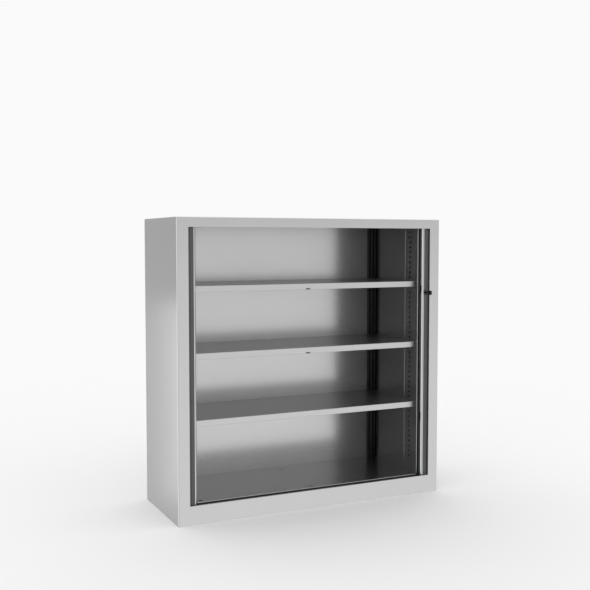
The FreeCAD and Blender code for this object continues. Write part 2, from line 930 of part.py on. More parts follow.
def key_bow():
    body = new_body("key_bow")
    neck_end = plug_front - cell("key_blade_bare")
    bow_end = neck_end - cell("key_neck")
    tip = bow_end - cell("key_bow_length")
    neck = cell("key_blade_height") / 2
    half = cell("key_bow_height") / 2
    section = [(neck_end, lock_z - neck), (neck_end, lock_z + neck), (bow_end, lock_z + neck)]
    section += [(bow_end, lock_z + half), (tip, lock_z + half), (tip, lock_z - half)]
    section += [(bow_end, lock_z - half), (bow_end, lock_z - neck)]
    face = lock_x + cell("key_bow_thickness") / 2
    thickness = cell("key_bow_thickness")
    pad(body, outline(body, "YZ_Plane", section, face), thickness, backwards=True)
    corners = [(("Y", y), ("Z", z)) for y in (tip, bow_end) for z in (lock_z + half, lock_z - half)]
    round_edges(body, cell("key_bow_round"), *corners)
    ring = tip + cell("key_ring_inset")
    pocket(body, circles(body, "YZ_Plane", [(ring, lock_z)], cell("key_ring_hole"), face), thickness)
    return keep(body)


# The hook stands up inside the stile and swings out through the slot in the nose
def hook_bolt():
    body = new_body("hook_bolt")
    boss = cell("hook_boss") / 2
    left = lock_x - boss
    right = lock_x + boss
    arm = lock_x - cell("hook_below")
    barb = arm - cell("hook_barb")
    tip = lock_z + cell("hook_reach")
    shape = [(left, lock_z - boss), (right, lock_z - boss), (right, tip), (barb, tip)]
    shape += [(barb, tip - cell("hook_barb_width")), (arm, tip - cell("hook_barb_width"))]
    shape += [(arm, lock_z + boss), (left, lock_z + boss)]
    pad(body, outline(body, "XZ_Plane", shape, -hook_front), cell("hook_thickness"), backwards=True)
    hole = circles(body, "XZ_Plane", [(lock_x, lock_z)], cell("plug_tail"), -hook_front)
    pocket(body, hole, cell("hook_thickness"))
    return keep(body)


def hook_screw():
    head_rear = hook_rear + cell("hook_screw_height")
    head = lock_bar("hook_screw_cap", hook_rear, head_rear, cell("hook_screw_head"))
    shank = lock_bar("hook_screw_pin", hook_screw_end, hook_rear, cell("hook_screw_shank"))
    return keep(join("hook_screw", head, shank))


# Plate behind the slot of the left stile, where the hook catches
def strike_plate():
    slot_low = lock_z - cell("slot_below")
    slot_high = slot_low + cell("slot_height")
    margin = (cell("strike_height") - cell("slot_height")) / 2
    x = side_range("left", cavity_near, cavity_near + cell("strike_thickness"))
    plate = block("strike_blank", x, (cavity_front, cavity_rear), (slot_low - margin, slot_high + margin))
    clear = cell("hook_side_gap")
    way = block("strike_slot", x, (hook_front - clear, hook_rear + clear), (slot_low, slot_high))
    return keep(cut("strike_plate", plate, way))


# Curtains

# Enough slats to fill the opening when the door is closed, and a little more
slat_count = math.ceil((nose.number + cell("curtain_cover").number) / cell("slat_pitch").number)


def slat_shape():
    body = new_body("slat")
    half = (cell("slat_pitch") - cell("slat_gap")) / 2
    rear = half - cell("slat_taper")
    face = cell("slat_thickness") / 2
    edge = cell("slat_crown") - face
    flat = half - cell("slat_crown") * 2
    section = [(-half, edge), (-flat, -face), (flat, -face), (half, edge), (rear, face), (-rear, face)]
    pad(body, outline(body, "XY_Plane", section, slat_low), slat_high - slat_low)
    return body.Shape


# The track's middle line, as lengths along it from where the front corner starts
radius = corner.number
corner_x = side_run.number - radius
front_corner_y = front_run.number + radius
rear_corner_y = back_run.number - radius
side_start = radius * math.pi / 2
side_end = side_start + rear_corner_y - front_corner_y
back_start = side_end + side_start


# Where along the track the middle of a slat lies
def slat_way(number):
    way = cell("slat_lead") + cell("slat_pitch") * (number + 0.5)
    return way.number


# Place and turn of a slat
def track_point(way):
    if way < side_start:
        turn = way / radius
        x = corner_x + radius * math.sin(turn)
        y = front_corner_y - radius * math.cos(turn)
    elif way < side_end:
        turn = math.pi / 2
        x = side_run.number
        y = front_corner_y + way - side_start
    else:
        turn = math.pi / 2 + min((way - side_end) / radius, math.pi / 2)
        x = corner_x + radius * math.sin(turn) - max(way - back_start, 0)
        y = rear_corner_y - radius * math.cos(turn)
    return x, y, math.degrees(turn)


def place_slat(shape, side, number):
    x, y, turn = track_point(slat_way(number))
    flip = flips[side]
    spot = FreeCAD.Vector(flip * x, y, 0)
    slat = shape.copy()
    slat.Placement = FreeCAD.Placement(spot, FreeCAD.Rotation(FreeCAD.Vector(0, 0, 1), flip * turn))
    return slat


# The slats on a straight stretch of the track are one piece, and each slat in a corner is a piece of its own
def slat_piece(number):
    way = slat_way(number)
    if way < side_start:
        return f"corner_slat_{number + 1}"
    if way < side_end:
        return "side_slats"
    if way < back_start:
        before = sum(slat_way(other) < side_end for other in range(slat_count))
        return f"rear_slat_{number - before + 1}"
    return "back_slats"


def curtain(side, shape):
    pieces = {}
    for number in range(slat_count):
        pieces.setdefault(slat_piece(number), []).append(number)
    for name, numbers in pieces.items():
        feature = doc.addObject("Part::Feature", f"{side}_{name}")
        feature.Label = f"{side}_{name}"
        feature.Shape = Part.makeCompound([place_slat(shape, side, number) for number in numbers])
        feature.Placement = FreeCAD.Placement()
        keep(feature)


# Levelling feet under the base, turned from above through the holes in the floor

def foot(name, x, y):
    low = cell("foot_lift")
    pad_disc = bar(name + "_disc", x, y, low, cell("foot_pad"), cell("foot_pad_height"))
    stem_z = low + cell("foot_pad_height")
    stem_length = cell("foot_length") - cell("foot_pad_height")
    stem = bar(name + "_stem", x, y, stem_z, cell("foot_stem"), stem_length)
    return keep(join(name + "_foot", pad_disc, stem))


def foot_brackets():
    brackets = []
    wall = cell("bracket_wall")
    half_x = cell("bracket_width") / 2
    half_y = cell("bracket_depth") / 2
    high = gauge + cell("bracket_height")
    bore_size = cell("foot_stem") + cell("foot_thread_gap") * 2
    for name, (x, y) in foot_places().items():
        title = name + "_bracket"
        y_range = around(y, half_y)
        blank = block(title + "_blank", around(x, half_x), y_range, (gauge, high))
        room = block(title + "_room", around(x, half_x - wall), y_range, (gauge, high - wall))
        thread = bar(title + "_thread", x, y, high - wall, bore_size, wall)
        brackets.append(cut(title, blank, join(title + "_cuts", room, thread)))
    return keep(group("foot_brackets", brackets))


# Rivets that hold the back panel to the flanges of the side and top panels

side_rivets = 5
top_rivets = 5


def rivet_places(where):
    lap = cell("back_lap") / 2
    pitch = cell("rivet_pitch")
    if where == "top":
        return [(pitch * (i - (top_rivets - 1) / 2), opening_top + lap) for i in range(top_rivets)]
    x = flips[where] * (opening_side + lap)
    return [(x, cell("first_rivet") + pitch * i) for i in range(side_rivets)]


def drill_rivets(body, where, face, depth):
    holes = circles(body, "XZ_Plane", rivet_places(where), cell("rivet_shank"), -face)
    pocket(body, holes, depth, backwards=True)


def back_rivets():
    rivets = []
    for where in ("left", "right", "top"):
        for number, (x, z) in enumerate(rivet_places(where), start=1):
            title = f"{where}_rivet_{number}"
            head = bar(title + "_head", x, back, z, cell("rivet_head"), cell("rivet_head_height"), "y")
            shank = bar(title + "_shank", x, back_sheet, z, cell("rivet_shank"), gauge * 2, "y")
            rivets.append(join(title, head, shank))
    return keep(group("back_rivets", rivets))


# The whole cabinet

for side_name in flips:
    side_panel(side_name)
top_panel()
plinth_rail()
back_panel()
base_plate()
floor_pan()
pan("ceiling_pan", ledge_high, ceiling, False)
inner_back_panel()
for side_name in flips:
    lining(side_name)
    lining_post(side_name)
for shelf_name in shelf_pegs:
    shelf(shelf_name)
shelf_clips()
shelf_plugs()
for side_name in flips:
    for level_name in ("bottom", "top"):
        track(side_name, level_name)
back_rivets()
foot_brackets()
for foot_name, (foot_x, foot_y) in foot_places().items():
    foot(foot_name, foot_x, foot_y)
slat_blank = slat_shape()
for side_name in flips:
    lead_stile(side_name)
    grip_strip(side_name)
    stile_glides(side_name)
    curtain(side_name, slat_blank)
strike_plate()
lock_barrel()
barrel_nut()
lock_plug()
key_blade()
key_bow()
hook_bolt()
hook_screw()

doc.recompute()
for item in doc.Objects:
    if "Invalid" in item.State or "Error" in item.State:
        raise RuntimeError(f"{item.Label} failed: {item.State}")
for node in nodes:
    if node.Shape.isNull() or not node.Shape.isValid():
        raise RuntimeError(f"{node.Label} has no valid shape")

os.makedirs("parts", exist_ok=True)
for node in nodes:
    node.Shape.exportStep(f"parts/{node.Label}.step")
print(len(nodes), "pieces written")
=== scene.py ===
import json
import math

import bmesh
import bpy
from mathutils import Matrix, Vector


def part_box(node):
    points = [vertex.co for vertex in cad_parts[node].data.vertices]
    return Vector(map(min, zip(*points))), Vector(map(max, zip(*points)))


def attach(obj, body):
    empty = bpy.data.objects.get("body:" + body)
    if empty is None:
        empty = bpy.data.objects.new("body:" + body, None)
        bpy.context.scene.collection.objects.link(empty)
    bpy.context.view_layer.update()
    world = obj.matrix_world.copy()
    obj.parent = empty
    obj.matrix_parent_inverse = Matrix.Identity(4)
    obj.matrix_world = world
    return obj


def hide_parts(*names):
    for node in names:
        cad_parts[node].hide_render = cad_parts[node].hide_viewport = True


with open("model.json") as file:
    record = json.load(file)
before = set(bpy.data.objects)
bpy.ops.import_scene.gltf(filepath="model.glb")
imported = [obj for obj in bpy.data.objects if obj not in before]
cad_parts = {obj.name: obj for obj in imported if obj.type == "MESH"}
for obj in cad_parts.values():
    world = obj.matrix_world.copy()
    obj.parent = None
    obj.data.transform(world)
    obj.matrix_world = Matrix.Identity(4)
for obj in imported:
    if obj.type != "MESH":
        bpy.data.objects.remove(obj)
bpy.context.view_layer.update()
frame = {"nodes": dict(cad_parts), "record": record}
nodes = frame["nodes"]
scene = bpy.context.scene
mm = 0.001
print("frame loaded:", len(nodes), "nodes")


# Camera, at the photograph's viewing angle
camera = {
    "place": (-1.6720, -3.4793, 1.1042),    # metres
    "yaw": 25.707,      # degrees to the right of straight ahead
    "pitch": -3.402,    # degrees above the horizon
    "lens": 54.647,
    "sensor": 36.0,
    "farthest": 50.0,
}


def makeCamera():
    data = bpy.data.cameras.new("camera")
    data.lens = camera["lens"]
    data.sensor_width = camera["sensor"]
    data.clip_end = camera["farthest"]
    item = bpy.data.objects.new("camera", data)
    item.location = camera["place"]
    item.rotation_euler = (math.radians(90 + camera["pitch"]), 0, math.radians(-camera["yaw"]))
    scene.collection.objects.link(item)
    scene.camera = item


makeCamera()
print("camera set")


# Shader helpers
def linear(hexColour):
    channels = [int(hexColour[i:i + 2], 16) / 255 for i in (1, 3, 5)]
    return [c / 12.92 if c <= 0.04045 else ((c + 0.055) / 1.055) ** 2.4 for c in channels] + [1.0]


def addNode(tree, kind, settings=None, inputs=None):
    node = tree.nodes.new(kind)
    for name, value in (settings or {}).items():
        setattr(node, name, value)
    for name, value in (inputs or {}).items():
        if isinstance(value, bpy.types.NodeSocket):
            tree.links.new(value, node.inputs[name])
        else:
            node.inputs[name].default_value = value
    return node


def startMaterial(name):
    material = bpy.data.materials.new(name)
    material.use_nodes = True
    material.node_tree.nodes.clear()
    return material, material.node_tree


def perMetre(size):
    return 1 / (size * mm)


# Silver powder coat on sheet steel, sprayed and baked: metal flake under a satin skin,
# so it mirrors the room softly
silverPaint = {
    "body_paint": {"colour": "#bdbdbd", "drift": "#b9b9b9", "roughness": 0.22, "askew": 0.25},
    "inner_paint": {"colour": "#bfbfbf", "drift": "#bbbbbb", "roughness": 0.21, "askew": 0.24},
    # painted light: a lighter copy of the inner paint, so the inner back mirrors the room brighter
    "back_paint": {"colour": "#c4c4c4", "drift": "#c0c0c0", "roughness": 0.19, "askew": 0.46},
    "shelf_paint": {"colour": "#bebebe", "drift": "#bababa", "roughness": 0.30, "askew": 0.33},
    "metallic": 0.95,
    "cloudSize": 240.0,     # mm, slow drift of the spray
    "peelSize": 2.2,        # mm, orange peel
    "peelDepth": 0.05,      # mm
    "peelStrength": 0.03,
    "flakeSize": 0.35,      # mm, real flake is about 0.03 and is drawn coarser to show close up
    "askewFrom": 0.66,      # flakes of a random tone above this lie askew and spread what they mirror
    "askewBand": 0.04,
}


def powderCoat(slot):
    look = silverPaint[slot]
    material, tree = startMaterial("silver_powder_coat_" + slot)
    place = addNode(tree, "ShaderNodeTexCoord").outputs["Object"]
    cloud = addNode(tree, "ShaderNodeTexNoise", None, {
        "Vector": place, "Scale": perMetre(silverPaint["cloudSize"]), "Detail": 3.0})
    drift = addNode(tree, "ShaderNodeMix", {"data_type": "RGBA"}, {
        "Factor": cloud.outputs["Fac"], "A": linear(look["colour"]), "B": linear(look["drift"])})
    flake = addNode(tree, "ShaderNodeTexVoronoi", None, {
        "Vector": place, "Scale": perMetre(silverPaint["flakeSize"])})
    glint = addNode(tree, "ShaderNodeMapRange", None, {
        "Value": flake.outputs["Color"], "From Min": silverPaint["askewFrom"],
        "From Max": silverPaint["askewFrom"] + silverPaint["askewBand"],
        "To Min": look["roughness"], "To Max": look["askew"]})
    peel = addNode(tree, "ShaderNodeTexNoise", None, {
        "Vector": place, "Scale": perMetre(silverPaint["peelSize"]), "Detail": 1.0})
    bump = addNode(tree, "ShaderNodeBump", None, {
        "Height": peel.outputs["Fac"], "Strength": silverPaint["peelStrength"],
        "Distance": silverPaint["peelDepth"] * mm})
    shader = addNode(tree, "ShaderNodeBsdfPrincipled", None, {
        "Base Color": drift.outputs["Result"], "Metallic": silverPaint["metallic"],
        "Roughness": glint.outputs["Result"], "Normal": bump.outputs["Normal"]})
    addNode(tree, "ShaderNodeOutputMaterial", None, {"Surface": shader.outputs["BSDF"]})
    return material


# Zinc plated steel, pressed: grey metal with a faint crystal cloud and a dull sheen
zincPlate = {
    "colour": "#c3c4c6",
    "dull": "#aeb0b3",
    "crystal": 3.0,         # mm
    "cloud": 15.0,          # mm
    "roughness": (0.28, 0.42),
    "bumpDepth": 0.05,      # mm
    "bumpStrength": 0.08,
}


def zincSteel():
    material, tree = startMaterial("zinc_plated_steel")
    place = addNode(tree, "ShaderNodeTexCoord").outputs["Object"]
    crystal = addNode(tree, "ShaderNodeTexVoronoi", None, {
        "Vector": place, "Scale": perMetre(zincPlate["crystal"])})
    cloud = addNode(tree, "ShaderNodeTexNoise", None, {
        "Vector": place, "Scale": perMetre(zincPlate["cloud"]), "Detail": 4.0})
    tone = addNode(tree, "ShaderNodeMix", {"data_type": "RGBA"}, {
        "Factor": cloud.outputs["Fac"],
        "A": linear(zincPlate["colour"]), "B": linear(zincPlate["dull"])})
    smooth, rough = zincPlate["roughness"]
    sheen = addNode(tree, "ShaderNodeMapRange", None, {
        "Value": crystal.outputs["Distance"], "To Min": smooth, "To Max": rough})
    bump = addNode(tree, "ShaderNodeBump", None, {
        "Height": cloud.outputs["Fac"], "Strength": zincPlate["bumpStrength"],
        "Distance": zincPlate["bumpDepth"] * mm})
    shader = addNode(tree, "ShaderNodeBsdfPrincipled", None, {
        "Base Color": tone.outputs["Result"], "Metallic": 1.0,
        "Roughness": sheen.outputs["Result"], "Normal": bump.outputs["Normal"]})
    addNode(tree, "ShaderNodeOutputMaterial", None, {"Surface": shader.outputs["BSDF"]})
    return material


# Satin anodised aluminium, extruded: fine die lines along its length draw the highlight out
anodised = {
    "colour": "#bebfc0",
    "line": "#b2b3b5",
    "lineWidth": 0.5,       # mm across the extrusion
    "lineLength": 220.0,    # mm along it
    "roughness": (0.22, 0.32),
    "bumpDepth": 0.02,      # mm
    "bumpStrength": 0.06,
}


def anodisedAluminium():
    material, tree = startMaterial("anodised_aluminium")
    place = addNode(tree, "ShaderNodeTexCoord").outputs["Object"]
    across = perMetre(anodised["lineWidth"])
    drawn = addNode(tree, "ShaderNodeMapping", None, {
        "Vector": place, "Scale": (across, across, perMetre(anodised["lineLength"]))})
    lines = addNode(tree, "ShaderNodeTexNoise", None, {
        "Vector": drawn.outputs["Vector"], "Scale": 1.0, "Detail": 2.0})
    tone = addNode(tree, "ShaderNodeMix", {"data_type": "RGBA"}, {
        "Factor": lines.outputs["Fac"],
        "A": linear(anodised["colour"]), "B": linear(anodised["line"])})
    smooth, rough = anodised["roughness"]
    sheen = addNode(tree, "ShaderNodeMapRange", None, {
        "Value": lines.outputs["Fac"], "To Min": smooth, "To Max": rough})
    bump = addNode(tree, "ShaderNodeBump", None, {
        "Height": lines.outputs["Fac"], "Strength": anodised["bumpStrength"],
        "Distance": anodised["bumpDepth"] * mm})
    shader = addNode(tree, "ShaderNodeBsdfPrincipled", None, {
        "Base Color": tone.outputs["Result"], "Metallic": 1.0,
        "Roughness": sheen.outputs["Result"], "Normal": bump.outputs["Normal"]})
    addNode(tree, "ShaderNodeOutputMaterial", None, {"Surface": shader.outputs["BSDF"]})
    return material


# Extruded plastic: long drawn streaks from the die, matt on the tracks and grips, satin silver grey
# on the slats, whose backs are painted near-black as painted shade for the dark cavity behind the linings
extruded = {
    "track_plastic": {"name": "extruded_pvc_black",
                      "colour": "#121213", "streak": "#1c1c1d", "roughness": 0.6},
    "grip_plastic": {"name": "extruded_pvc_dark_grey",
                     "colour": "#515152", "streak": "#484849", "roughness": 0.46},
    "slat_plastic": {"name": "extruded_pvc_silver_grey",
                     "colour": "#b0b1b2", "streak": "#a6a7a9", "roughness": 0.38},
    # painted shade: near-black colour on the slats' backs, standing in for the dark cavity behind the
    # linings
    "backing": "#161617",
    "streakWidth": 0.8,     # mm across the extrusion
    "streakLength": 160.0,  # mm along it
    "grain": 0.9,           # mm, real grain is finer and is drawn coarser to show close up
    "grainDepth": 0.04,     # mm
    "grainStrength": 0.1,
    "spread": 0.06,         # of the roughness, to both sides
    "ior": 1.53,
}


def extrudedPlastic(slot):
    look = extruded[slot]
    material, tree = startMaterial(look["name"])
    place = addNode(tree, "ShaderNodeTexCoord").outputs["Object"]
    across = perMetre(extruded["streakWidth"])
    drawn = addNode(tree, "ShaderNodeMapping", None, {
        "Vector": place, "Scale": (across, across, perMetre(extruded["streakLength"]))})
    streak = addNode(tree, "ShaderNodeTexNoise", None, {
        "Vector": drawn.outputs["Vector"], "Scale": 1.0, "Detail": 3.0})
    grain = addNode(tree, "ShaderNodeTexNoise", None, {
        "Vector": place, "Scale": perMetre(extruded["grain"]), "Detail": 2.0})
    tone = addNode(tree, "ShaderNodeMix", {"data_type": "RGBA"}, {
        "Factor": streak.outputs["Fac"], "A": linear(look["colour"]), "B": linear(look["streak"])})
    # the slats' backs take the painted shade colour
    back = addNode(tree, "ShaderNodeAttribute", {"attribute_name": "backing"})
    tone = addNode(tree, "ShaderNodeMix", {"data_type": "RGBA"}, {
        "Factor": back.outputs["Fac"], "A": tone.outputs["Result"], "B": linear(extruded["backing"])})
    sheen = addNode(tree, "ShaderNodeMapRange", None, {
        "Value": grain.outputs["Fac"], "To Min": look["roughness"] - extruded["spread"],
        "To Max": look["roughness"] + extruded["spread"]})
    bump = addNode(tree, "ShaderNodeBump", None, {
        "Height": grain.outputs["Fac"], "Strength": extruded["grainStrength"],
        "Distance": extruded["grainDepth"] * mm})
    shader = addNode(tree, "ShaderNodeBsdfPrincipled", None, {
        "Base Color": tone.outputs["Result"], "Roughness": sheen.outputs["Result"],
        "IOR": extruded["ior"], "Normal": bump.outputs["Normal"]})
    addNode(tree, "ShaderNodeOutputMaterial", None, {"Surface": shader.outputs["BSDF"]})
    return material


# Moulded plastic: black, with an even spark-eroded texture from the mould
moulded = {
    "key_plastic": {"name": "moulded_abs_black",
                    "colour": "#161616", "worn": "#202020", "roughness": 0.42, "ior": 1.54},
    "foot_plastic": {"name": "moulded_nylon_black",
                     "colour": "#1a1a1a", "worn": "#262626", "roughness": 0.55, "ior": 1.53},
    "texture": 0.6,         # mm, the real texture is about 0.1 and is drawn coarser to show
    "textureDepth": 0.05,   # mm
    "textureStrength": 0.2,
    "rub": 9.0,             # mm, patches worn by hands and floors
    "spread": 0.08,         # of the roughness, to both sides
}


def mouldedPlastic(slot):
    look = moulded[slot]
    material, tree = startMaterial(look["name"])
    place = addNode(tree, "ShaderNodeTexCoord").outputs["Object"]
    spark = addNode(tree, "ShaderNodeTexNoise", None, {
        "Vector": place, "Scale": perMetre(moulded["texture"]), "Detail": 3.0})
    rub = addNode(tree, "ShaderNodeTexNoise", None, {
        "Vector": place, "Scale": perMetre(moulded["rub"]), "Detail": 3.0})
    tone = addNode(tree, "ShaderNodeMix", {"data_type": "RGBA"}, {
        "Factor": rub.outputs["Fac"], "A": linear(look["colour"]), "B": linear(look["worn"])})
    sheen = addNode(tree, "ShaderNodeMapRange", None, {
        "Value": rub.outputs["Fac"], "To Min": look["roughness"] - moulded["spread"],
        "To Max": look["roughness"] + moulded["spread"]})
    bump = addNode(tree, "ShaderNodeBump", None, {
        "Height": spark.outputs["Fac"], "Strength": moulded["textureStrength"],
        "Distance": moulded["textureDepth"] * mm})
    shader = addNode(tree, "ShaderNodeBsdfPrincipled", None, {
        "Base Color": tone.outputs["Result"], "Roughness": sheen.outputs["Result"],
        "IOR": look["ior"], "Normal": bump.outputs["Normal"]})
    addNode(tree, "ShaderNodeOutputMaterial", None, {"Surface": shader.outputs["BSDF"]})
    return material


# Black chrome on die-cast zinc, turned on a lathe: dark mirror with turning rings about the lock's axis
blackChrome = {
    "colour": "#4a4a4b",
    "ring": "#3c3c3d",
    "ringWidth": 2.513,     # mm, real rings are about 0.1 and are drawn coarser to show
    "waver": 0.4,
    "roughness": (0.19, 0.27),
}


def lockChrome(axisPoint):
    material, tree = startMaterial("black_chrome")
    place = addNode(tree, "ShaderNodeTexCoord").outputs["Object"]
    centred = addNode(tree, "ShaderNodeMapping", None, {"Vector": place, "Location": -axisPoint})
    ringsPerUnit = 20 / math.tau    # the wave texture runs through 20 radians in a unit of length
    rings = addNode(tree, "ShaderNodeTexWave", {"wave_type": "RINGS", "rings_direction": "Y"}, {
        "Vector": centred.outputs["Vector"], "Scale": perMetre(blackChrome["ringWidth"]) / ringsPerUnit,
        "Distortion": blackChrome["waver"]})
    tone = addNode(tree, "ShaderNodeMix", {"data_type": "RGBA"}, {
        "Factor": rings.outputs["Fac"],
        "A": linear(blackChrome["colour"]), "B": linear(blackChrome["ring"])})
    smooth, rough = blackChrome["roughness"]
    sheen = addNode(tree, "ShaderNodeMapRange", None, {
        "Value": rings.outputs["Fac"], "To Min": smooth, "To Max": rough})
    shader = addNode(tree, "ShaderNodeBsdfPrincipled", None, {
        "Base Color": tone.outputs["Result"], "Metallic": 1.0, "Roughness": sheen.outputs["Result"]})
    addNode(tree, "ShaderNodeOutputMaterial", None, {"Surface": shader.outputs["BSDF"]})
    return material


lockLow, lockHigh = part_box("lock_barrel")
lockAxis = (lockLow + lockHigh) / 2

palette = {
    "zinc_steel": zincSteel(),
    "nose_aluminium": anodisedAluminium(),
    "lock_metal": lockChrome(lockAxis),
}
for slotName in ("body_paint", "inner_paint", "back_paint", "shelf_paint"):
    palette[slotName] = powderCoat(slotName)
for slotName in ("track_plastic", "grip_plastic", "slat_plastic"):
    palette[slotName] = extrudedPlastic(slotName)
for slotName in ("key_plastic", "foot_plastic"):
    palette[slotName] = mouldedPlastic(slotName)

slotOf = {part["node"]: part["material_slot"] for part in frame["record"]["subparts"]}
bodyOf = {node: body for body, held in frame["record"]["behaviour"]["bodies"].items() for node in held}
for nodeName, nodeItem in nodes.items():
    nodeItem.data.materials.clear()
    # the inner back gets a lighter copy of the paint, painted light that brightens what it mirrors; it is
    # sprayed from farther off, so its askew flakes lie more unevenly
    paint = "back_paint" if nodeName == "inner_back_panel" else slotOf[nodeName]
    nodeItem.data.materials.append(palette[paint])
print("materials:", len(palette))


# Piece helpers, with the sizes of every piece in mm
meshing = {
    "weld": 0.01,           # corners closer than this are one
    "flat": 0.5,            # degrees, triangles closer than this are one face
    "sharp": 35.0,          # degrees, edges above this are eased
    "smooth": 32.0,         # degrees, edges below this shade smoothly
    "facing": 0.99,         # a face looks along an axis where its normal has this much of it
    "foldSegments": 5,
}


def finishPiece(name, shape, slot, body, replaced=(), smoothAngle=meshing["smooth"]):
    bmesh.ops.recalc_face_normals(shape, faces=shape.faces)
    mesh = bpy.data.meshes.new(name)
    shape.to_mesh(mesh)
    shape.free()
    mesh.shade_smooth()
    mesh.set_sharp_from_angle(angle=math.radians(smoothAngle))
    mesh.materials.append(palette[slot])
    item = bpy.data.objects.new(name, mesh)
    scene.collection.objects.link(item)
    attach(item, body)
    if replaced:
        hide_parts(*replaced)
    return item


def addShape(shape, other):
    mesh = bpy.data.meshes.new("added")
    other.to_mesh(mesh)
    other.free()
    shape.from_mesh(mesh)
    bpy.data.meshes.remove(mesh)


def mergedCopy(node):
    shape = bmesh.new()
    shape.from_mesh(nodes[node].data)
    bmesh.ops.remove_doubles(shape, verts=shape.verts, dist=meshing["weld"] * mm)
    bmesh.ops.dissolve_limit(shape, angle_limit=math.radians(meshing["flat"]),
                             verts=shape.verts, edges=shape.edges)
    return shape


def bevelEdges(shape, edges, radius, segments):
    bmesh.ops.bevel(shape, geom=edges, offset=radius * mm, segments=segments, profile=0.5,
                    affect="EDGES", clamp_overlap=True, material=-1)


def roundEdges(shape, radius, segments=3):
    sharp = math.radians(meshing["sharp"])
    bevelEdges(shape, [edge for edge in shape.edges if edge.calc_face_angle(0) > sharp], radius, segments)


def foldFront(shape, node, radius):
    # the upright front edge on the side that faces the middle of the cabinet
    low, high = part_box(node)
    near = low.x if low.x > 0 else high.x
    edges = [edge for edge in shape.edges if all(
        abs(vert.co.x - near) + abs(vert.co.y - low.y) < meshing["weld"] * mm for vert in edge.verts)]
    bevelEdges(shape, edges, radius, meshing["foldSegments"])


def easedPiece(node, radius, segments=3, fold=0):
    shape = mergedCopy(node)
    if fold:
        foldFront(shape, node, fold)
    roundEdges(shape, radius, segments)
    item = finishPiece(node + "_eased", shape, slotOf[node], bodyOf[node], [node])
    # large faces stay flat in the gloss, and only the eased edges curve
    item.modifiers.new("flat_faces", "WEIGHTED_NORMAL").keep_sharp = True


def flatFace(shape, points, radius, segments):
    face = shape.faces.new([shape.verts.new(point) for point in points])
    bmesh.ops.bevel(shape, geom=face.verts[:], offset=radius * mm, segments=segments, profile=0.5,
                    affect="VERTICES", clamp_overlap=True, material=-1)


def raiseFaces(shape, faces, vector):
    grown = bmesh.ops.extrude_face_region(shape, geom=faces)["geom"]
    bmesh.ops.translate(shape, verts=[v for v in grown if isinstance(v, bmesh.types.BMVert)], vec=vector)


def turned(shape, profile, centre, axis, steps):
    # profile: (radius, distance along the axis) in mm, as a closed ring or from axis to axis
    axis = Vector(axis)
    side = axis.orthogonal().normalized()
    ring = [shape.verts.new(centre + side * (r * mm) + axis * (h * mm)) for r, h in profile]
    edges = [shape.edges.new((a, b)) for a, b in zip(ring, ring[1:])]
    if profile[0][0] > 0:
        edges.append(shape.edges.new((ring[-1], ring[0])))
    bmesh.ops.spin(shape, geom=ring + edges, cent=centre, axis=axis, angle=math.tau, steps=steps,
                   use_merge=True)
    bmesh.ops.remove_doubles(shape, verts=shape.verts, dist=meshing["weld"] / 2 * mm)


def quarter(steps):
    return [math.pi / 2 * i / steps for i in range(steps + 1)]


def islands(node):
    # the box of each separate solid in a node
    shape = mergedCopy(node)
    waiting = set(shape.verts)
    boxes = []
    while waiting:
        held = [waiting.pop()]
        corners = []
        while held:
            vert = held.pop()
            corners.append(vert.co.copy())
            for edge in vert.link_edges:
                other = edge.other_vert(vert)
                if other in waiting:
                    waiting.remove(other)
                    held.append(other)
        low = Vector([min(c[i] for c in corners) for i in range(3)])
        high = Vector([max(c[i] for c in corners) for i in range(3)])
        boxes.append((low, high))
    shape.free()
    return sorted(boxes, key=lambda pair: tuple(round(v, 5) for v in pair[0]))


# Tambour slats: a crowned face, a groove down each edge where the next one hooks in, a flute at the back
slat = {
    "pitch": 18.0,
    "lead": 3.0,            # from the start of the front corner to the first slat
    "count": 29,
    "cornerRadius": 34.0,   # of the track's middle line
    "round": 0.45,
    "roundSegments": 2,
    "smooth": 25.0,         # degrees, so that the groove's edges stay crisp
    "backFrom": 0.0,        # depth at which the painted shade on the slats' backs starts
    # half of its outline, from the middle of the face to the middle of the back: across and depth
    "half": [(2.9, -3.5), (5.8, -3.1), (7.9, -2.45), (8.8, -1.5), (8.8, -0.5), (7.7, 0.1), (7.7, 1.1),
             (8.2, 1.6), (8.0, 2.7), (7.4, 3.5), (4.6, 3.5), (3.9, 2.6)],
}


def slatTrack():
    sideLow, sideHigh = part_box("right_side_slats")
    backLow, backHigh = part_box("right_back_slats")
    trackLow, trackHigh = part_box("right_bottom_track")
    sideRun = (sideLow.x + sideHigh.x) / 2
    return {
        "side": sideRun,
        # the track's outer wall is as far from its middle line at the front as at the side
        "front": trackLow.y + trackHigh.x - sideRun,
        "back": (backLow.y + backHigh.y) / 2,
        "low": sideLow.z,
        "high": sideHigh.z,
    }


def slatPlaces(run):
    # along the front corner, up the side, round the rear corner and along the back
    radius = slat["cornerRadius"] * mm
    cornerX = run["side"] - radius
    frontY = run["front"] + radius
    rearY = run["back"] - radius
    bend = radius * math.pi / 2     # the way round one corner
    sideEnd = bend + rearY - frontY
    counts = {}
    for number in range(slat["count"]):
        way = (slat["lead"] + slat["pitch"] * (number + 0.5)) * mm
        if way < bend:
            stretch, turn = "corner_slat", way / radius
        elif way < sideEnd:
            stretch, turn = "side_slats", math.pi / 2
        else:
            stretch = "rear_slat" if way < sideEnd + bend else "back_slats"
            turn = min(math.pi / 2 + (way - sideEnd) / radius, math.pi)
        counts[stretch] = counts.get(stretch, 0) + 1
        x = cornerX + radius * math.sin(turn) - max(way - sideEnd - bend, 0)
        y = (frontY if turn < math.pi / 2 else rearY) - radius * math.cos(turn)
        if stretch == "side_slats":
            y = frontY + way - bend
        name = stretch if stretch.endswith("s") else f"{stretch}_{counts[stretch]}"
        yield name, x, y, turn


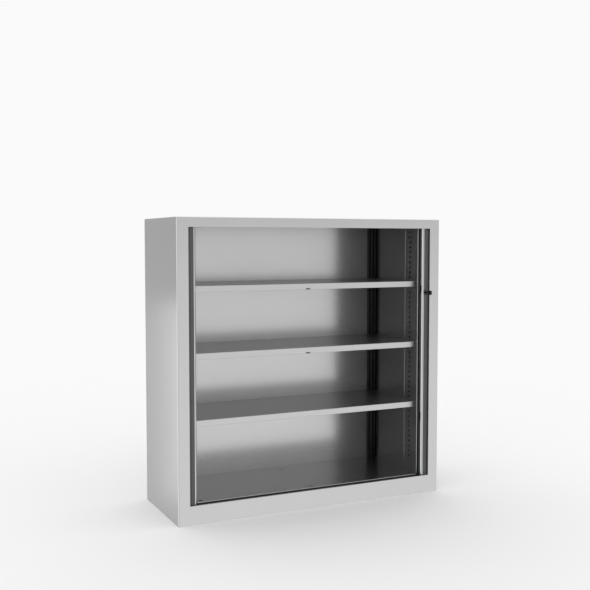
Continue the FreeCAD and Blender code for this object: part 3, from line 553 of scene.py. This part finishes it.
def slatMesh(run):
    shape = bmesh.new()
    half = slat["half"]
    outline = half + [(-across, depth) for across, depth in reversed(half)]
    points = [(across * mm, depth * mm, run["low"]) for across, depth in outline]
    flatFace(shape, points, slat["round"], slat["roundSegments"])
    raiseFaces(shape, shape.faces[:], (0, 0, run["high"] - run["low"]))
    # marks the slats' backs, which get the painted shade colour
    backing = shape.verts.layers.float.new("backing")
    for vert in shape.verts:
        vert[backing] = float(vert.co.y > slat["backFrom"] * mm)
    mesh = bpy.data.meshes.new("slat")
    shape.to_mesh(mesh)
    shape.free()
    return mesh


def makeCurtains():
    run = slatTrack()
    single = slatMesh(run)
    for side, flip in (("left", -1), ("right", 1)):
        groups = {}
        for name, x, y, turn in slatPlaces(run):
            shape = groups.setdefault(f"{side}_{name}", bmesh.new())
            before = len(shape.verts)
            shape.from_mesh(single)
            shape.verts.ensure_lookup_table()
            place = Matrix.Translation((flip * x, y, 0)) @ Matrix.Rotation(flip * turn, 4, "Z")
            bmesh.ops.transform(shape, matrix=place, verts=shape.verts[before:])
        for node, shape in groups.items():
            finishPiece(node + "_profile", shape, "slat_plastic", bodyOf[node], [node], slat["smooth"])
    bpy.data.meshes.remove(single)


makeCurtains()
print("curtains made")


# Lead stiles and their ribbed grips, with every edge of the extrusion eased
stileEdge = {"lead_stile": 0.35, "grip_strip": 0.7}

for sideName in ("left", "right"):
    for part, radius in stileEdge.items():
        easedPiece(f"{sideName}_{part}", radius)
print("lead stiles made")


# Lock: a turned rim round the plug, the key with its moulded bow, and the pieces inside the stile
lock = {
    "rimRound": 1.0,
    "rimSteps": 5,
    "rimLand": 1.6,         # ring round the plug
    "rimDish": 0.1,         # how far its inner edge lies back
    "flange": 2.0,          # how far the rim stands out past the tube
    "mouth": [(0, 0.7), (0.5, 0.25)],   # flare of the hole: out from its wall, back from the front
    "plugGap": 0.06,
    "turnSteps": 64,
    "cutDepth": 1.7,        # of the key's bitting
    "cutCount": 3,
    "cutShares": (0.6, 1.0),    # of that depth, by turns
    "cutMouth": 0.4,        # half of a cut's width at its mouth and at its root, as shares of the step
    "cutRoot": 0.1,
    "bladeEdge": 0.25,
    "bowRim": 2.0,
    "bowSink": 0.7,
    "bowEdge": 0.3,
    "edgeSegments": 2,
    "partEdge": {"lock_plug": 0.3, "hook_bolt": 0.35, "hook_screw": 0.35, "barrel_nut": 0.35,
                 "strike_plate": 0.35},
}


def makeBarrel():
    rim = (lockHigh.x - lockLow.x) / 2 / mm
    plugLow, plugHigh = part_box("lock_plug")
    hole = (plugHigh.x - plugLow.x) / 2 / mm + lock["plugGap"]
    front = (lockLow.y - lockAxis.y) / mm
    seat = (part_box("right_grip_strip")[0].y - lockAxis.y) / mm
    rear = (lockHigh.y - lockAxis.y) / mm
    tube = rim - lock["flange"]
    crown = lock["rimRound"]
    profile = [(hole, rear)]
    profile += [(hole + out, front + back) for out, back in lock["mouth"]]
    profile += [(hole + lock["rimLand"], front + lock["rimDish"])]
    profile += [(rim - crown * (1 - math.sin(a)), front + crown * (1 - math.cos(a)))
                for a in quarter(lock["rimSteps"])]
    profile += [(rim, seat), (tube, seat), (tube, rear)]
    shape = bmesh.new()
    turned(shape, profile, lockAxis, (0, 1, 0), lock["turnSteps"])
    finishPiece("lock_barrel_turned", shape, "lock_metal", bodyOf["lock_barrel"], ["lock_barrel"])


def makeBlade():
    low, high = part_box("key_blade")
    deep = lock["cutDepth"] * mm
    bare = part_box("lock_plug")[0].y
    step = (high.y - bare) / (lock["cutCount"] + 1)
    mouth = step * lock["cutMouth"]
    root = step * lock["cutRoot"]
    points = [(low.y, low.z), (bare, low.z)]
    for number in range(lock["cutCount"]):
        middle = bare + step * (number + 1)
        rootZ = low.z + deep * lock["cutShares"][number % 2]
        points += [(middle - mouth, low.z), (middle - root, rootZ)]
        points += [(middle + root, rootZ), (middle + mouth, low.z)]
    points += [(high.y, low.z + deep), (high.y, high.z - deep / 2)]
    points += [(high.y - deep / 2, high.z), (low.y, high.z)]
    shape = bmesh.new()
    shape.faces.new([shape.verts.new((low.x, y, z)) for y, z in points])
    raiseFaces(shape, shape.faces[:], (high.x - low.x, 0, 0))
    roundEdges(shape, lock["bladeEdge"], lock["edgeSegments"])
    finishPiece("key_blade_cut", shape, "zinc_steel", bodyOf["key_blade"], ["key_blade"])


def makeBow():
    shape = mergedCopy("key_bow")
    flats = [face for face in shape.faces if abs(face.normal.x) > meshing["facing"]]
    for sign in (-1, 1):
        faces = [face for face in flats if face.normal.x * sign > 0]
        bmesh.ops.inset_region(shape, faces=faces, thickness=lock["bowRim"] * mm, use_even_offset=True)
        bmesh.ops.translate(shape, verts=list({v for face in faces for v in face.verts}),
                            vec=(-sign * lock["bowSink"] * mm, 0, 0))
    roundEdges(shape, lock["bowEdge"], lock["edgeSegments"])
    finishPiece("key_bow_moulded", shape, "key_plastic", bodyOf["key_bow"], ["key_bow"])


makeBarrel()
makeBlade()
makeBow()
for nodeName, radius in lock["partEdge"].items():
    easedPiece(nodeName, radius, lock["edgeSegments"])
print("lock made")


# Back rivets: a domed head with the broken pin in its middle
rivet = {
    "crown": 1.0,
    "crownSteps": 6,
    "shank": 2.0,
    "shankLength": 1.9,
    "pin": 1.1,
    "pinSink": 0.25,
    "pinLip": (0.1, 0.97),  # out from the pin, and height as a share of the crown
    "turnSteps": 28,
}


def makeRivets():
    shape = bmesh.new()
    tall = rivet["crown"]
    shank = rivet["shank"]
    pin = rivet["pin"]
    sunk = tall - rivet["pinSink"]
    lipOut, lipShare = rivet["pinLip"]
    for low, high in islands("back_rivets"):
        head = (high.x - low.x) / 2 / mm
        base = Vector(((low.x + high.x) / 2, high.y - tall * mm, (low.z + high.z) / 2))
        profile = [(0, sunk), (pin, sunk), (pin + lipOut, tall * lipShare)]
        # the first steps of the dome lie inside the pin
        profile += [(head * math.sin(a), tall * math.cos(a)) for a in quarter(rivet["crownSteps"])[2:]]
        profile += [(shank, 0), (shank, -rivet["shankLength"]), (0, -rivet["shankLength"])]
        one = bmesh.new()
        turned(one, profile, base, (0, 1, 0), rivet["turnSteps"])
        addShape(shape, one)
    finishPiece("back_rivets_domed", shape, "zinc_steel", bodyOf["back_rivets"], ["back_rivets"])


makeRivets()


# Small fittings and the punched linings, with eased edges, so that rims and corners catch the light
easedEdge = {"shelf_clips": 0.7, "foot_brackets": 0.9, "shelf_plugs": 0.4, "left_lining_post": 0.25,
             "right_lining_post": 0.25}
liningEdge = {"punched": 0.25, "folded": 0.65}

for nodeName, radius in easedEdge.items():
    easedPiece(nodeName, radius)
for nodeName in ("left_lining", "right_lining"):
    easedPiece(nodeName, liningEdge["punched"], fold=liningEdge["folded"])
print("rivets, clips, brackets and linings made")


# Levelling feet: a moulded pad, and a threaded steel stem with a hex for a spanner
foot = {
    "padHeight": 8.0,
    "padEdge": 1.5,
    "padEdgeSteps": 4,
    "padSteps": 48,
    # hollow under the pad: in from its rim, height
    "sole": [(6.0, 0.6), (5.0, 0.0)],
    # shoulder of the pad: in from its rim, down from its top
    "shoulder": [(0.0, 3.2), (0.8, 2.2), (7.0, 0.4)],
    "collar": 4.0,          # flat ring round the stem
    "stem": 10.0,
    "stemEnd": 0.6,         # how far its end tapers in
    "threadPitch": 1.5,
    "threadDepth": 0.8,
    # one turn of the thread: share of its depth, way along the stem
    "thread": [(0, 0.15), (1, 0.65), (1, 0.85), (0, 1.35)],
    "threadSteps": 20,
    "hexAcross": 17.0,
    "hexHeight": 6.0,
    "hexEdge": 0.5,
    "hexSegments": 2,
}


def makePad(node, centre, rim):
    tall = foot["padHeight"]
    edge = foot["padEdge"]
    hollow = foot["sole"][0][1]
    profile = [(0, hollow)]
    profile += [(rim - inwards, height) for inwards, height in foot["sole"]]
    profile += [(rim - edge * (1 - math.sin(a)), edge * (1 - math.cos(a)))
                for a in quarter(foot["padEdgeSteps"])]
    profile += [(rim - inwards, tall - down) for inwards, down in foot["shoulder"]]
    profile += [(foot["stem"] / 2 + foot["collar"], tall), (0, tall)]
    shape = bmesh.new()
    turned(shape, profile, centre, (0, 0, 1), foot["padSteps"])
    finishPiece(node + "_pad", shape, "foot_plastic", bodyOf[node], [node])


def makeStem(node, centre, length):
    shape = bmesh.new()
    corner = foot["hexAcross"] / math.sqrt(3) * mm
    start = foot["padHeight"] + foot["hexHeight"]
    middle = centre + Vector((0, 0, (start - foot["hexHeight"] / 2) * mm))
    bmesh.ops.create_cone(shape, cap_ends=True, segments=6, radius1=corner, radius2=corner,
                          depth=foot["hexHeight"] * mm, matrix=Matrix.Translation(middle))
    roundEdges(shape, foot["hexEdge"], foot["hexSegments"])
    root = foot["stem"] / 2 - foot["threadDepth"]
    outline = [(0, start), (root, start)]
    for number in range(int((length - start) / foot["threadPitch"])):
        base = start + number * foot["threadPitch"]
        outline += [(root + share * foot["threadDepth"], base + way) for share, way in foot["thread"]]
    outline += [(root - foot["stemEnd"], length), (0, length)]
    thread = bmesh.new()
    turned(thread, outline, centre, (0, 0, 1), foot["threadSteps"])
    addShape(shape, thread)
    finishPiece(node + "_stem", shape, "zinc_steel", bodyOf[node])


for nodeName in sorted(name for name in nodes if name.endswith("_foot")):
    footLow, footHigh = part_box(nodeName)
    footCentre = Vector(((footLow.x + footHigh.x) / 2, (footLow.y + footHigh.y) / 2, footLow.z))
    makePad(nodeName, footCentre, (footHigh.x - footLow.x) / 2 / mm)
    makeStem(nodeName, footCentre, (footHigh.z - footLow.z) / mm)
print("feet made")


# Studio, in metres: a pale floor and a white room, with soft panels to the right, to the left,
# above and behind
studio = {
    "matt": 1.0,            # light on matt surfaces, so that a colour renders as it is written
    "background": 0.955,
    "floorColour": "#fafafa",
    "floorSize": 40.0,
    # soft edges in what the gloss sees: the axis each runs across, where it starts and ends,
    # and the light at each end
    "edges": {
        "wallSide": ("X", -0.25, 0.10, 0.0, 1.09),      # panel to the right
        "wallTop": ("Z", 0.0, 0.10, 1.0, 0.5),          # share of that light above the horizon
        "wallFoot": ("Z", -0.25, 0.02, 1.12, 1.0),      # and below it
        "leftPanel": ("X", -0.80, -0.50, 1.5, 0.0),
        "room": ("Y", -0.05, 0.50, 0.85, 0.62),         # from behind the camera to behind the cabinet
        "ceiling": ("Z", 0.35, 0.80, 0.0, 1.4),
        "deep": ("Z", -0.22, 0.0, 0.055, 0.133),        # the room as a second reflection sees it
    },
    "secondFrom": 2.5,      # ray depth, which is 2 after a first reflection and 3 after a second
    # white card beside the cabinet that only its gloss sees: middle, size along y and z, light
    "card": {"middle": (-1.35, 0.8, 0.12), "size": (2.4, 1.25), "light": 1.5},
}


def makeWorld():
    world = bpy.data.worlds.new("studio")
    scene.world = world
    world.use_nodes = True
    tree = world.node_tree
    tree.nodes.clear()
    rays = addNode(tree, "ShaderNodeLightPath")
    way = addNode(tree, "ShaderNodeTexCoord")
    axes = addNode(tree, "ShaderNodeSeparateXYZ", None, {"Vector": way.outputs["Generated"]})
    soft = {}
    for name, (axis, start, end, before, after) in studio["edges"].items():
        soft[name] = addNode(tree, "ShaderNodeMapRange", {"interpolation_type": "SMOOTHSTEP"}, {
            "Value": axes.outputs[axis], "From Min": start, "From Max": end,
            "To Min": before, "To Max": after}).outputs["Result"]
    first = addNode(tree, "ShaderNodeMath", {"operation": "MAXIMUM"}, {
        0: soft["leftPanel"], 1: soft["room"]})
    second = addNode(tree, "ShaderNodeMath", {"operation": "GREATER_THAN"}, {
        0: rays.outputs["Ray Depth"], 1: studio["secondFrom"]})
    shade = addNode(tree, "ShaderNodeMix", {"data_type": "FLOAT"}, {
        "Factor": second.outputs[0], "A": first.outputs[0], "B": soft["deep"]})
    level = addNode(tree, "ShaderNodeMath", {"operation": "MULTIPLY"}, {
        0: soft["wallSide"], 1: soft["wallTop"]})
    level = addNode(tree, "ShaderNodeMath", {"operation": "MULTIPLY"}, {
        0: level.outputs[0], 1: soft["wallFoot"]})
    for other in (soft["ceiling"], shade.outputs["Result"]):
        level = addNode(tree, "ShaderNodeMath", {"operation": "MAXIMUM"}, {0: level.outputs[0], 1: other})
    lit = addNode(tree, "ShaderNodeMix", {"data_type": "FLOAT"}, {
        "Factor": rays.outputs["Is Glossy Ray"], "A": studio["matt"], "B": level.outputs[0]})
    shown = addNode(tree, "ShaderNodeMath", {"operation": "MAXIMUM"}, {
        0: rays.outputs["Is Camera Ray"], 1: rays.outputs["Is Transmission Ray"]})
    strength = addNode(tree, "ShaderNodeMix", {"data_type": "FLOAT"}, {
        "Factor": shown.outputs[0], "A": lit.outputs["Result"], "B": studio["background"]})
    light = addNode(tree, "ShaderNodeBackground", None, {
        "Color": [1.0] * 4, "Strength": strength.outputs["Result"]})
    addNode(tree, "ShaderNodeOutputWorld", None, {"Surface": light.outputs["Background"]})


def stagePlane(name, size, matrix):
    mesh = bpy.data.meshes.new(name)
    shape = bmesh.new()
    bmesh.ops.create_grid(shape, x_segments=1, y_segments=1, size=0.5)
    bmesh.ops.scale(shape, vec=(size[0], size[1], 1), verts=shape.verts)
    bmesh.ops.transform(shape, matrix=matrix, verts=shape.verts)
    shape.to_mesh(mesh)
    shape.free()
    item = bpy.data.objects.new(name, mesh)
    scene.collection.objects.link(item)
    return item


def makeFloor():
    floor = stagePlane("floor", (studio["floorSize"], studio["floorSize"]), Matrix())
    floor.visible_glossy = False     # gloss sees the white room below the horizon too
    material, tree = startMaterial("studio_floor")
    matt = addNode(tree, "ShaderNodeBsdfDiffuse", None, {"Color": linear(studio["floorColour"])})
    addNode(tree, "ShaderNodeOutputMaterial", None, {"Surface": matt.outputs["BSDF"]})
    floor.data.materials.append(material)


def makeCard():
    card = studio["card"]
    # the plane's own x and y become the scene's y and z
    upright = Matrix(((0, 0, 1, 0), (1, 0, 0, 0), (0, 1, 0, 0), (0, 0, 0, 1)))
    item = stagePlane("rearCard", card["size"], Matrix.Translation(card["middle"]) @ upright)
    item.visible_camera = False
    item.visible_diffuse = False
    item.visible_transmission = False
    item.visible_shadow = False
    material, tree = startMaterial("white_card")
    glow = addNode(tree, "ShaderNodeEmission", None, {"Strength": card["light"]})
    addNode(tree, "ShaderNodeOutputMaterial", None, {"Surface": glow.outputs["Emission"]})
    item.data.materials.append(material)


makeWorld()
makeFloor()
makeCard()
scene.view_settings.view_transform = "Standard"
print("studio lit")
